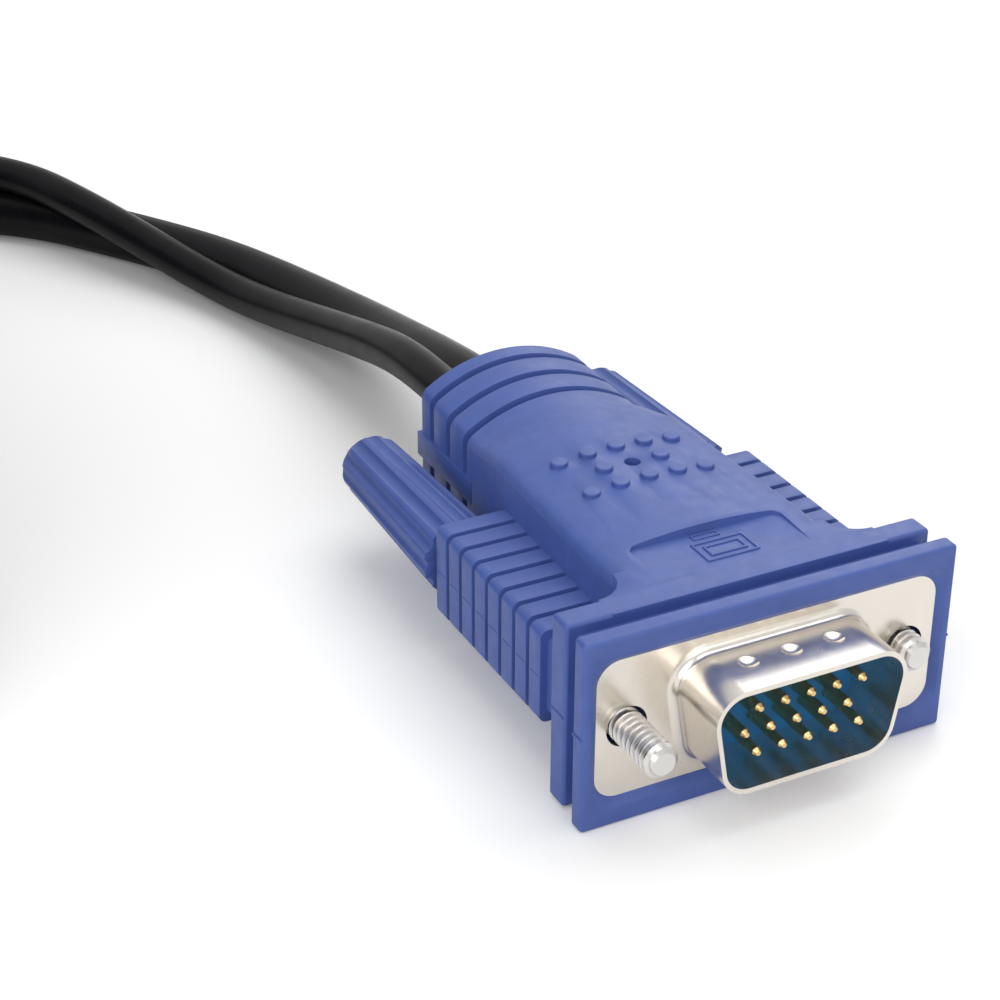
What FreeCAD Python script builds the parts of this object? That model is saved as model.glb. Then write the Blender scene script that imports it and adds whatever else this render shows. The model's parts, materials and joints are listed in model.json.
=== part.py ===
"""KVM cable: a moulded high-density D-sub plug with two thumbscrews on a twin cable.

The plug lies on the ground plane (z = 0) with its mating face towards -Y and its cable towards +Y.
The origin is on the ground under the middle of the metal flange's front face. Millimetres throughout.
The twin cable ends, past a tied hank, in a second plug of the same family and a flat USB plug.
"""
import FreeCAD, Part
import math
import os

import Sketcher
from FreeCAD import Rotation, Vector

SIZES = [
    # Front frame, groove and collar of the hood
    ("frame_side", 1.095, "front frame beyond the metal flange, on each side"),
    ("frame_high", 16.7, "front frame height"),
    ("frame_thick", 1.65, "front frame along the plug"),
    ("frame_lip", 0.5, "frame standing ahead of the metal flange"),
    ("frame_edge", 0.35, "rounding of the frame's edges"),
    ("window_lap", 0.255, "frame window inside the flange's edge, on each side"),
    ("window_high", 12.1, "frame window height"),
    ("window_corner", 2.0, "frame window corner radius"),
    ("window_bevel", 0.65, "slope of the window's edge, on each side"),
    ("groove_wide", 1.65, "groove between frame and collar"),
    ("groove_deep", 1.2, "depth of that groove"),
    ("collar_inset", 0.25, "collar inside the frame, on each side"),
    ("collar_high", 16.3, "collar height"),
    ("collar_thick", 2.3, "collar along the plug"),
    ("collar_edge", 0.35, "rounding of the collar's edges"),
    # Ribbed shoulders that carry the thumbscrews
    ("shoulder_side", 2.755, "shoulder beyond the stud's axis, over the ribs"),
    ("shoulder_high", 8.35, "shoulder height, over the ribs"),
    ("shoulder_corner", 0.7, "corner radius of ribs and shoulder core"),
    ("rib_start", 8.6, "front of the first rib, from the flange"),
    ("rib_thick", 1.8, "one rib along the plug"),
    ("rib_pitch", 2.36, "rib to rib"),
    ("rib_count", 8, "ribs on each shoulder"),
    ("rib_deep", 0.65, "depth of the grooves between ribs"),
    ("flare", 2.8, "plan radius where the barrel meets the collar"),
    # Barrel sections, from the collar to the cable
    ("barrel_step", 11.0, "second section, from the flange"),
    ("barrel_crease", 28.9, "third section, where the strain relief begins"),
    ("barrel_relief", 34.7, "fourth section, ahead of the first slot"),
    ("barrel_length", 45.5, "barrel's rear end, from the flange"),
    ("side_front", 2.995, "barrel's side inside the stud's axis at the collar"),
    ("side_step", 2.945, "barrel's side inside the stud's axis at the second section"),
    ("side_crease", 3.645, "barrel's side inside the stud's axis at the third section"),
    ("side_relief", 4.295, "barrel's side inside the stud's axis at the fourth section"),
    ("side_rear", 4.495, "barrel's side inside the stud's axis at the rear end"),
    ("top_front", 8.2, "barrel top above the axis at the collar"),
    ("top_step", 9.0, "barrel top above the axis at the second section"),
    ("top_crease", 9.2, "barrel top above the axis at the third section"),
    ("top_relief", 9.1, "barrel top above the axis at the fourth section"),
    ("top_rear", 9.5, "barrel top above the axis at the rear end"),
    ("crown_front", 300.0, "radius of the barrel's crown at the collar"),
    ("crown_step", 45.0, "radius of the crown at the second section"),
    ("crown_crease", 30.0, "radius of the crown at the third section"),
    ("crown_relief", 14.0, "radius of the crown at the fourth section"),
    ("crown_rear", 13.5, "radius of the crown at the rear end"),
    ("crown_corner", 1.3, "radius between crown and sides"),
    ("barrel_foot", 1.5, "radius between sides and underside"),
    ("barrel_rim", 0.5, "bevel of the rear rim"),
    # Panel, dots and sight hole on the barrel's top
    ("panel_wide", 13.8, "recessed panel across"),
    ("panel_end", 10.4, "panel's rear end, from the flange"),
    ("panel_corner", 0.8, "corner radius of the panel's rear end"),
    ("dot_radius", 0.73, "radius of a dot at its flat top"),
    ("dot_foot", 0.82, "radius of a dot at its buried foot"),
    ("dot_root", 0.6, "length of a dot inside the barrel"),
    ("dot_high", 0.4, "height of a raised dot"),
    ("dot_edge", 0.13, "rounding of a dot's top edge"),
    ("dot_pitch", 2.66, "dot to dot across the barrel"),
    ("dot_row", 2.76, "dot row to dot row"),
    ("dot_middle", 21.5, "middle dot row, from the flange"),
    ("dot_crown", 34.6, "radius of the crown under the dots"),
    ("dot_top", 9.117, "barrel top above the axis under the middle row"),
    ("dot_rise", 0.0112, "rise of the barrel's top along the plug there"),
    ("sight_radius", 0.7, "radius of the hole among the dots"),
    ("sight_deep", 1.2, "depth of that hole"),
    # Strain relief slots
    ("slot_count", 3, "slots round the strain relief"),
    ("slot_wide", 0.9, "slot along the plug"),
    ("slot_deep", 0.8, "slot depth"),
    ("slot_pitch", 3.45, "slot to slot"),
    ("slot_first", 36.0, "middle of the first slot, from the flange"),
    ("web_top", 2.85, "upper end of the solid side between slots, above the axis"),
    ("web_bottom", 0.6, "lower end of that side, above the axis"),
    ("rail_proud", 0.25, "rail on that side, proud of the barrel"),
    # Metal shells, insulator and contacts
    ("flange_ear", 2.91, "metal flange beyond the stud's axis"),
    ("flange_high", 12.5, "metal flange height"),
    ("flange_corner", 2.0, "metal flange corner radius"),
    ("sheet_thick", 0.4, "thickness of one flange"),
    ("shell_wide", 16.92, "inside of the front shell, wide side"),
    ("shell_high", 8.36, "inside of the front shell, height"),
    ("shell_wall", 0.45, "front shell wall"),
    ("shell_corner", 2.15, "inside corner radius of the front shell"),
    ("shell_slant", 10.0, "lean of the shell's short sides in degrees"),
    ("shell_reach", 5.92, "front shell ahead of the flange"),
    ("shell_root", 0.8, "radius where the shell leaves its flange"),
    ("dimple_pitch", 3.8, "dimple to dimple on the shell"),
    ("dimple_ball", 1.3, "radius of the ball that dents the shell"),
    ("dimple_deep", 0.3, "depth of a dimple"),
    ("dimple_back", 2.6, "dimples ahead of the flange"),
    ("cup_wide", 16.2, "inside of the rear shell, wide side"),
    ("cup_high", 7.8, "inside of the rear shell, height"),
    ("cup_wall", 0.4, "rear shell wall"),
    ("cup_corner", 1.8, "inside corner radius of the rear shell"),
    ("cup_deep", 4.0, "rear shell behind the flanges"),
    ("insulator_front", 0.3, "insulator face ahead of the flange"),
    ("pin_radius", 0.38, "contact pin radius"),
    ("pin_point", 0.3, "tapered tip of a pin"),
    ("pin_end", 0.2, "radius of that tip's end"),
    ("pin_pitch", 2.29, "contact pitch along a row"),
    ("pin_row", 1.98, "row to row"),
    ("pin_reach", 5.05, "pin tips ahead of the flange"),
    ("pin_tail", 2.0, "contact tails behind the insulator"),
    ("tail_room", 0.4, "space round the contact tails"),
    # Thumbscrews
    ("stud_spacing", 24.99, "stud to stud"),
    ("stud_radius", 1.42, "stud thread radius"),
    ("shank_radius", 1.36, "stud thread radius behind the flange's face"),
    ("stud_reach", 5.5, "stud ahead of the flange"),
    ("stud_root", 4.0, "end of the thread behind the flange"),
    ("stud_tip", 0.4, "length of the stud's tapered tip"),
    ("stud_end", 1.05, "radius of that tip's end"),
    ("neck_radius", 1.15, "plain neck of the screw"),
    ("bore_radius", 1.75, "screw hole through flanges and hood front"),
    ("bore_deep", 10.0, "end of that hole, from the flange"),
    ("neck_hole", 1.3, "hole for the neck through the shoulder"),
    ("knob_gap", 1.05, "gap between shoulder and knob"),
    ("right_pull", 3.4, "right thumbscrew drawn back, as seen"),
    ("knob_length", 19.3, "knob length"),
    ("knob_front", 3.45, "knob radius at the shoulder"),
    ("knob_rear", 2.9, "knob radius at the rear end"),
    ("knob_dome", 1.4, "rounding of the knob's rear end"),
    ("knob_cover", 5.0, "plastic behind the screw's end"),
    ("flute_count", 12, "flutes round a knob"),
    ("flute_radius", 0.7, "radius of a flute"),
    ("flute_deep", 0.35, "depth of a flute"),
    # Cables, hank and tie
    ("video_diameter", 5.8, "video lobe of the twin cable"),
    ("data_diameter", 4.0, "data lobe of the twin cable"),
    ("hank_x", -72.5, "hank's middle across"),
    ("hank_y", 49.1, "centre of the hank's front bend, from the flange"),
    ("hank_run", 76.0, "straight run between the hank's bends"),
    ("hank_inner", 11.1, "inner radius of the bends"),
    ("hank_outer", 20.9, "outer radius of the bends"),
    ("hank_high", 34.8, "hank height"),
    ("hank_corner", 2.9, "rounding of the hank's section"),
    ("tie_y", 86.5, "tie's front edge, from the flange"),
    ("tie_wide", 7.0, "tie along the hank"),
    ("tie_thick", 1.0, "tie thickness"),
    # The far end of each lobe, lying on the hank
    ("far_x", -78.0, "far plug across from the near one"),
    ("far_y", 34.5, "far plug along from the near one"),
    ("far_z", 35.9, "far plug above the ground"),
    ("usb_x", -62.0, "flat plug's middle across"),
    ("usb_y", 95.0, "flat plug's rear end, from the flange"),
    ("usb_z", 35.9, "flat plug above the ground"),
    ("usb_wide", 16.0, "grip across"),
    ("usb_high", 9.0, "grip height"),
    ("usb_grip", 26.0, "grip length"),
    ("usb_edge", 1.6, "rounding of the grip's edges"),
    ("usb_relief", 12.0, "tapered relief behind the grip"),
    ("usb_root", 3.8, "relief radius at the grip"),
    ("usb_end", 2.8, "relief radius at its rear end"),
    ("usb_shell_wide", 12.0, "metal shell across"),
    ("usb_shell_high", 4.5, "metal shell height"),
    ("usb_wall", 0.3, "metal shell wall"),
    ("usb_reach", 12.0, "metal shell ahead of the grip"),
    ("usb_seat", 3.0, "metal shell inside the grip"),
    ("usb_tongue", 1.84, "tongue thickness"),
    ("usb_mouth", 0.9, "tongue behind the shell's mouth"),
    ("usb_window", 2.4, "square windows in the shell"),
    ("usb_window_pitch", 5.2, "window to window"),
    ("usb_window_back", 5.2, "windows behind the shell's mouth"),
    ("usb_contact_thick", 0.2, "contact thickness"),
    ("usb_contact_wide", 1.0, "contact width"),
    ("usb_contact_long", 7.4, "contact length"),
]

# Routes of the two lobes from the plug to the hank, and from the hank to their far plugs
VIDEO_ROUTE = [
    (2.2, 45.5, 9.3), (2.2, 54.0, 9.3), (2.3, 63.0, 8.0), (2.6, 72.0, 6.2), (2.5, 81.5, 4.6),
    (1.4, 91.0, 3.5), (-0.6, 100.0, 3.0), (-3.6, 108.5, 2.9), (-7.8, 116.3, 2.9), (-12.6, 124.0, 2.9),
    (-17.6, 131.2, 2.95), (-24.0, 137.2, 2.9), (-32.0, 141.4, 2.95), (-40.6, 143.4, 3.0),
    (-49.0, 144.2, 3.2), (-57.0, 144.1, 3.5), (-64.8, 143.7, 3.8), (-72.5, 143.1, 3.9),
]
DATA_ROUTE = [
    (-2.4, 45.5, 11.2), (-2.4, 54.0, 11.2), (-2.0, 63.0, 10.2), (-1.9, 72.0, 8.0), (-2.3, 81.2, 5.8),
    (-3.4, 90.2, 4.0), (-5.1, 98.8, 3.0), (-7.7, 106.6, 3.5), (-11.2, 114.2, 5.2), (-14.9, 122.3, 6.8),
    (-18.5, 131.1, 7.7), (-23.7, 138.0, 7.7), (-30.6, 142.6, 7.7), (-38.6, 145.2, 7.8), (-46.8, 145.5, 8.0),
    (-55.0, 143.8, 8.3), (-63.4, 140.4, 7.2), (-72.5, 138.2, 3.9),
]
VIDEO_TAIL_ROUTE = [
    (-90.5, 125.1, 32.9), (-89.6, 117.9, 33.7), (-87.5, 110.7, 35.8), (-84.6, 103.5, 38.6),
    (-81.7, 96.2, 41.5), (-79.1, 88.1, 44.1), (-78.0, 80.0, 45.1),
]
DATA_TAIL_ROUTE = [
    (-59.4, 49.1, 32.9), (-59.7, 58.3, 33.7), (-60.3, 67.5, 35.5), (-61.1, 76.6, 37.8), (-61.7, 85.8, 39.6),
    (-62.0, 95.0, 40.4),
]
# Share of the shorter run beside a corner that the corner's arc takes up
ARC_SHARE = 0.45
# Contacts of one row, as steps from the row's middle
ROW_STEPS = (-2, -1, 0, 1, 2)
# Middle of each flat contact of the USB plug, across
USB_CONTACTS = (-3.5, -1.0, 1.0, 3.5)

doc = FreeCAD.newDocument("kvm_cable")
sheet = doc.addObject("Spreadsheet::Sheet", "sizes")
for row, (alias, number, note) in enumerate(SIZES, start=1):
    sheet.set(f"A{row}", note)
    sheet.set(f"B{row}", str(number))
    sheet.setAlias(f"B{row}", alias)
doc.recompute()


class Size:
    """A number from the sheet, or worked out from such numbers, together with its expression."""

    def __init__(self, value, text):
        self.value = value
        self.text = text

    def __add__(self, other):
        return Size(self.value + as_size(other).value, f"({self.text} + {as_size(other).text})")

    def __sub__(self, other):
        return Size(self.value - as_size(other).value, f"({self.text} - {as_size(other).text})")

    def __mul__(self, other):
        return Size(self.value * as_size(other).value, f"({self.text} * {as_size(other).text})")

    def __truediv__(self, other):
        return Size(self.value / as_size(other).value, f"({self.text} / {as_size(other).text})")

    def __neg__(self):
        return self * -1


def as_size(thing):
    return thing if isinstance(thing, Size) else Size(float(thing), f"({thing})")


def tangent(degrees):
    return Size(math.tan(math.radians(degrees.value)), f"tan({degrees.text} * 1 deg)")


def root(number):
    return Size(math.sqrt(number.value), f"sqrt({number.text})")


S = {alias: Size(float(sheet.get(alias)), f"sizes.{alias}") for alias, number, note in SIZES}
ZERO = as_size(0)
AXIS = S["frame_high"] / 2
FLANGE_WIDE = S["stud_spacing"] + S["flange_ear"] * 2
FRAME_WIDE = FLANGE_WIDE + S["frame_side"] * 2
WINDOW_WIDE = FLANGE_WIDE - S["window_lap"] * 2
COLLAR_WIDE = FRAME_WIDE - S["collar_inset"] * 2
SHOULDER_WIDE = S["stud_spacing"] + S["shoulder_side"] * 2
BARREL_WIDE = {tag: S["stud_spacing"] - S["side_" + tag] * 2
               for tag in ("front", "step", "crease", "relief", "rear")}
FRAME_BACK = S["frame_thick"] - S["frame_lip"]
COLLAR_FRONT = FRAME_BACK + S["groove_wide"]
COLLAR_BACK = COLLAR_FRONT + S["collar_thick"]
RIBS = int(S["rib_count"].value)
SHOULDER_BACK = S["rib_start"] + S["rib_pitch"] * (RIBS - 1) + S["rib_thick"]
FLANGES_BACK = S["sheet_thick"] * 2
CUP_BACK = FLANGES_BACK + S["cup_deep"]
KNOB_START = SHOULDER_BACK + S["knob_gap"]
KNOB_END = KNOB_START + S["knob_length"]
STUD_X = S["stud_spacing"] / 2
PARTS = []


def part(obj, label):
    """Keep obj as a finished piece, its label naming its file."""
    obj.Label = label
    PARTS.append(obj)
    return obj


def bind(obj, at=None, **sizes):
    """Let obj's properties, and its place if given, follow the sheet."""
    for name, size in sizes.items():
        obj.setExpression(name, as_size(size).text)
    for axis, size in zip("xyz", at or ()):
        obj.setExpression(f"Placement.Base.{axis}", as_size(size).text)
    return obj


def box(name, wide, deep, high, y, z, x=ZERO):
    """A block whose middle across is x, from depth y and height z."""
    obj = doc.addObject("Part::Box", name)
    return bind(obj, (x - as_size(wide) / 2, y, z), Length=wide, Width=deep, Height=high)


def rod(name, radius, y, y_end, x=ZERO, z=AXIS, end_radius=None):
    """A round or tapered rod along the plug, from depth y to y_end."""
    obj = doc.addObject("Part::Cylinder" if end_radius is None else "Part::Cone", name)
    obj.Placement.Rotation = Rotation(Vector(1, 0, 0), -90)
    bind(obj, (x, y, z), Height=y_end - y)
    if end_radius is None:
        return bind(obj, Radius=radius)
    return bind(obj, Radius1=radius, Radius2=end_radius)


def ball(name, radius, x, y, z):
    return bind(doc.addObject("Part::Sphere", name), (x, y, z), Radius=radius)


def rounded(name, base, radius, picks):
    """Base with the edges that picks(edge) accepts rounded."""
    doc.recompute()
    obj = doc.addObject("Part::Fillet", name)
    obj.Base = base
    edges = base.Shape.Edges
    obj.Edges = [(i, radius.value, radius.value) for i, edge in enumerate(edges, start=1) if picks(edge)]
    return obj


def along_plug(edge):
    return abs(edge.tangentAt(edge.FirstParameter).y) > 0.99


def fuse(name, pieces):
    obj = doc.addObject("Part::MultiFuse", name)
    obj.Shapes = pieces
    return obj


def cut(name, base, tool):
    obj = doc.addObject("Part::Cut", name)
    obj.Base = base
    obj.Tool = tool
    return obj


def mirrored(name, source):
    """The same piece on the other side of the plug's middle plane."""
    obj = doc.addObject("Part::Mirroring", name)
    obj.Source = source
    obj.Normal = Vector(1, 0, 0)
    return obj


def sketch_in(body, name, role, offset):
    """A sketch on one of body's planes, moved along the plane's normal."""
    sketch = body.newObject("Sketcher::SketchObject", name)
    plane = next(item for item in body.Origin.OriginFeatures if item.Role == role)
    sketch.AttachmentSupport = [(plane, "")]
    sketch.MapMode = "FlatFace"
    sketch.setExpression("AttachmentOffset.Base.z", offset.text)
    return sketch


def line(start, end):
    return Part.LineSegment(Vector(*start, 0), Vector(*end, 0))


def arc(centre, radius, start, end):
    return Part.ArcOfCircle(Part.Circle(Vector(*centre, 0), Vector(0, 0, 1), radius), start, end)


def smooth_loop(sketch, pieces):
    """Add lines and arcs end to end, each tangent to the next, and return their numbers."""
    ids = [sketch.addGeometry(piece, False) for piece in pieces]
    for one, two in zip(ids, ids[1:] + ids[:1]):
        sketch.addConstraint(Sketcher.Constraint("Tangent", one, 2, two, 1))
    return ids


def hold(sketch, kind, *where):
    sketch.addConstraint(Sketcher.Constraint(kind, *where))


def drive(sketch, size, kind, *where):
    """A dimension of the sketch that follows size."""
    number = sketch.addConstraint(Sketcher.Constraint(kind, *where, size.value))
    sketch.setExpression(f"Constraints[{number}]", size.text)


def d_outline(body, name, y, wide, high, corner, slant=ZERO):
    """A rounded rectangle about the plug's axis, or a D whose short sides lean in downwards."""
    sketch = sketch_in(body, name, "XZ_Plane", -as_size(y))
    lean, r, quarter = math.radians(slant.value), corner.value, math.pi / 2
    top, low = (AXIS + high / 2).value, (AXIS - high / 2).value
    taken = corner / tangent((as_size(90) - slant) / 2)
    flat = wide - taken * 2
    upper = flat.value / 2
    lower = wide.value / 2 - high.value * math.tan(lean) - r / math.tan((quarter + lean) / 2)
    out, down = r * math.cos(lean), r * math.sin(lean)
    ids = smooth_loop(sketch, [
        line((-lower, low), (lower, low)),
        arc((lower, low + r), r, -quarter, -lean),
        line((lower + out, low + r - down), (upper + out, top - r - down)),
        arc((upper, top - r), r, -lean, quarter),
        line((upper, top), (-upper, top)),
        arc((-upper, top - r), r, quarter, 2 * quarter + lean),
        line((-upper - out, top - r - down), (-lower - out, low + r - down)),
        arc((-lower, low + r), r, 2 * quarter + lean, 3 * quarter),
    ])
    for level in (ids[0], ids[4]):
        hold(sketch, "Symmetric", level, 1, level, 2, -2)
    for other in (ids[3], ids[5], ids[7]):
        hold(sketch, "Equal", ids[1], other)
    drive(sketch, corner, "Radius", ids[1])
    drive(sketch, flat, "DistanceX", ids[4], 2, ids[4], 1)
    drive(sketch, AXIS - high / 2, "DistanceY", -1, 1, ids[0], 1)
    drive(sketch, AXIS + high / 2, "DistanceY", -1, 1, ids[4], 1)
    number = sketch.addConstraint(Sketcher.Constraint("Angle", ids[2], quarter - lean))
    sketch.setExpression(f"Constraints[{number}]", f"(90 - {slant.text}) * 1 deg")
    return sketch


def arch_outline(body, name, y, wide, top, crown, inset):
    """A barrel section: flat underside, upright sides and crowned top, all drawn in by inset."""
    sketch = sketch_in(body, name, "XZ_Plane", -as_size(y))
    half, big = wide / 2 - inset, crown - inset
    middle = AXIS + top - crown
    h, r, f, low = half.value, S["crown_corner"].value, S["barrel_foot"].value, inset.value
    rise = math.sqrt((big.value - r) ** 2 - (h - r) ** 2)
    side_top, lean, quarter = middle.value + rise, math.atan2(rise, h - r), math.pi / 2
    ids = smooth_loop(sketch, [
        line((f - h, low), (h - f, low)),
        arc((h - f, low + f), f, -quarter, 0),
        line((h, low + f), (h, side_top)),
        arc((h - r, side_top), r, 0, lean),
        arc((0, middle.value), big.value, lean, 2 * quarter - lean),
        arc((r - h, side_top), r, 2 * quarter - lean, 2 * quarter),
        line((-h, side_top), (-h, low + f)),
        arc((f - h, low + f), f, 2 * quarter, 3 * quarter),
    ])
    hold(sketch, "Symmetric", ids[0], 1, ids[0], 2, -2)
    hold(sketch, "Vertical", ids[2])
    hold(sketch, "Vertical", ids[6])
    hold(sketch, "PointOnObject", ids[4], 3, -2)
    hold(sketch, "Equal", ids[1], ids[7])
    hold(sketch, "Equal", ids[3], ids[5])
    drive(sketch, S["barrel_foot"], "Radius", ids[1])
    drive(sketch, S["crown_corner"], "Radius", ids[3])
    drive(sketch, big, "Radius", ids[4])
    drive(sketch, half, "DistanceX", -1, 1, ids[2], 1)
    drive(sketch, inset, "DistanceY", -1, 1, ids[0], 1)
    drive(sketch, middle, "DistanceY", -1, 1, ids[4], 3)
    return sketch


def flare_outline(body, name):
    """Plan of the web between barrel and collar, with a hollow corner on each side."""
    sketch = sketch_in(body, name, "XY_Plane", AXIS - S["collar_high"] / 2)
    half, out = BARREL_WIDE["front"] / 2, BARREL_WIDE["front"] / 2 + S["flare"]
    end = COLLAR_BACK + S["flare"]
    h, o, r, e, quarter = half.value, out.value, S["flare"].value, end.value, math.pi / 2
    front, back = COLLAR_FRONT.value, COLLAR_BACK.value
    pieces = [
        line((-o, front), (o, front)), line((o, front), (o, back)), arc((o, e), r, 2 * quarter, 3 * quarter),
        line((h, e), (-h, e)), arc((-o, e), r, 3 * quarter, 4 * quarter), line((-o, back), (-o, front)),
    ]
    ids = [sketch.addGeometry(piece, False) for piece in pieces]
    low, right, right_arc, high, left_arc, left = ids
    for one, leaves, two, enters in (
        (low, 2, right, 1), (right, 2, right_arc, 2), (right_arc, 1, high, 1),
        (high, 2, left_arc, 2), (left_arc, 1, left, 1), (left, 2, low, 1),
    ):
        hold(sketch, "Coincident", one, leaves, two, enters)
    hold(sketch, "Symmetric", low, 1, low, 2, -2)
    hold(sketch, "Symmetric", high, 1, high, 2, -2)
    hold(sketch, "Vertical", right)
    hold(sketch, "Vertical", left)
    hold(sketch, "Equal", right_arc, left_arc)
    drive(sketch, S["flare"], "Radius", right_arc)
    drive(sketch, out, "DistanceX", -1, 1, low, 2)
    drive(sketch, half, "DistanceX", -1, 1, high, 1)
    drive(sketch, COLLAR_FRONT, "DistanceY", -1, 1, low, 1)
    drive(sketch, end, "DistanceY", -1, 1, high, 1)
    for curve in (right_arc, left_arc):
        drive(sketch, end, "DistanceY", -1, 1, curve, 3)
    return sketch


def pad(body, sketch, length, flip=True):
    obj = body.newObject("PartDesign::Pad", sketch.Name + "_pad")
    obj.Profile = sketch
    obj.Reversed = flip
    return bind(obj, Length=length)


def pocket(body, sketch, length):
    obj = body.newObject("PartDesign::Pocket", sketch.Name + "_pocket")
    obj.Profile = sketch
    return bind(obj, Length=length)


def body_of(name):
    return doc.addObject("PartDesign::Body", name)


def prism(name, y, y_end, wide, high, corner, slant=ZERO):
    """A bar of rounded rectangular or D section along the plug."""
    body = body_of(name)
    pad(body, d_outline(body, name + "_outline", y, wide, high, corner, slant), y_end - y)
    return body


def barrel(name, inset):
    """The barrel from the collar to the cable, or its core when inset, with a bevelled rear rim."""
    body = body_of(name)
    stations = [
        ("front", COLLAR_BACK - S["collar_edge"]), ("step", S["barrel_step"]), ("crease", S["barrel_crease"]),
        ("relief", S["barrel_relief"]), ("rear", S["barrel_length"] - S["barrel_rim"]),
    ]
    sections = []
    for tag, y in stations:
        wide, top, crown = BARREL_WIDE[tag], S["top_" + tag], S["crown_" + tag]
        sections.append(arch_outline(body, f"{name}_{tag}", y, wide, top, crown, inset))
    sections.append(arch_outline(body, name + "_rim", S["barrel_length"], BARREL_WIDE["rear"], S["top_rear"],
                                 S["crown_rear"], inset + S["barrel_rim"]))
    obj = body.newObject("PartDesign::AdditiveLoft", name + "_loft")
    obj.Profile = sections[0]
    obj.Sections = sections[1:]
    obj.Ruled = True
    return body


def hood_blank():
    """All that is moulded outwards: frame, neck, collar, ribbed shoulders, flare and barrel."""
    raw = box("frame_raw", FRAME_WIDE, S["frame_thick"], S["frame_high"], -S["frame_lip"], ZERO)
    frame = rounded("frame_block", raw, S["frame_edge"], lambda edge: True)
    neck = box("neck_block", FRAME_WIDE - S["groove_deep"] * 2, COLLAR_FRONT + S["collar_thick"] / 2,
               S["frame_high"] - S["groove_deep"] * 2, ZERO, S["groove_deep"])
    raw = box("collar_raw", COLLAR_WIDE, S["collar_thick"], S["collar_high"], COLLAR_FRONT,
              AXIS - S["collar_high"] / 2)
    collar = rounded("collar_block", raw, S["collar_edge"], lambda edge: True)
    core_end = SHOULDER_BACK - S["rib_thick"] / 2
    core = prism("shoulder_core", COLLAR_FRONT, core_end, SHOULDER_WIDE - S["rib_deep"] * 2,
                 S["shoulder_high"] - S["rib_deep"] * 2, S["shoulder_corner"])
    ribs = []
    for i in range(RIBS):
        front = S["rib_start"] + S["rib_pitch"] * i
        ribs.append(prism(f"rib_{i}", front, front + S["rib_thick"], SHOULDER_WIDE, S["shoulder_high"],
                          S["shoulder_corner"]))
    flare = body_of("flare_web")
    pad(flare, flare_outline(flare, "flare_plan"), S["collar_high"], flip=False)
    rail_long = S["barrel_length"] - S["barrel_relief"]
    rail = box("relief_rail", BARREL_WIDE["rear"] + S["rail_proud"] * 2, rail_long,
               S["web_top"] - S["web_bottom"], S["barrel_relief"], AXIS + S["web_bottom"])
    main = barrel("barrel", ZERO)
    return fuse("hood_blank", [frame, neck, collar, core, flare, main, rail] + ribs + dots())


def dots():
    """Raised flat dots in three rows on the barrel's top; the middle one of the middle row is a hole."""
    found, crown = [], S["dot_crown"]
    for step_y in (-1, 0, 1):
        for step_x in ROW_STEPS if step_y else (-1, 1):
            x = S["dot_pitch"] * step_x
            y = S["dot_middle"] + S["dot_row"] * step_y
            middle = AXIS + S["dot_top"] + S["dot_rise"] * S["dot_row"] * step_y - crown
            surface = middle + root(crown * crown - x * x)
            name = f"dot_{step_y + 2}_{step_x + 3}"
            blank = doc.addObject("Part::Cone", f"{name}_blank")
            bind(blank, (x, y, surface - S["dot_root"]), Radius1=S["dot_foot"], Radius2=S["dot_radius"],
                 Height=S["dot_root"] + S["dot_high"])
            level = surface.value
            found.append(rounded(name, blank, S["dot_edge"], lambda edge: edge.BoundBox.ZMin > level))
    return found


def panel_tool():
    """A block that leaves the flat panel behind the collar, level with the collar's top."""
    start, floor = COLLAR_BACK - S["collar_edge"] * 2, AXIS + S["collar_high"] / 2
    raw = box("panel_raw", S["panel_wide"], S["panel_end"] - start, S["top_rear"], start, floor)
    return rounded("panel_tool", raw, S["panel_corner"],
                   lambda edge: abs(edge.tangentAt(0).z) > 0.9 and edge.CenterOfMass.y > COLLAR_BACK.value)


def slot_tool():
    """Slots round the strain relief, left solid on both sides at the height of the cable."""
    tall = AXIS + S["top_rear"] + S["slot_wide"]
    slabs = []
    for i in range(int(S["slot_count"].value)):
        front = S["slot_first"] + S["slot_pitch"] * i - S["slot_wide"] / 2
        slabs.append(box(f"slot_slab_{i}", BARREL_WIDE["crease"], S["slot_wide"], tall, front, ZERO))
    web = box("slot_web", BARREL_WIDE["crease"], S["barrel_length"], S["web_top"] - S["web_bottom"], ZERO,
              AXIS + S["web_bottom"])
    keep = fuse("slot_keep", [barrel("core", S["slot_deep"]), web])
    return cut("slot_tool", fuse("slot_slabs", slabs), keep)


def window_tool():
    """The frame's window, its edge sloping out towards the front."""
    body = body_of("window")
    out = S["window_bevel"] * 4
    near = d_outline(body, "window_near", -S["frame_lip"] * 2, WINDOW_WIDE + out, S["window_high"] + out,
                     S["window_corner"])
    far = d_outline(body, "window_far", ZERO, WINDOW_WIDE, S["window_high"], S["window_corner"])
    obj = body.newObject("PartDesign::AdditiveLoft", "window_loft")
    obj.Profile = near
    obj.Sections = [far]
    obj.Ruled = True
    return body


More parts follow.
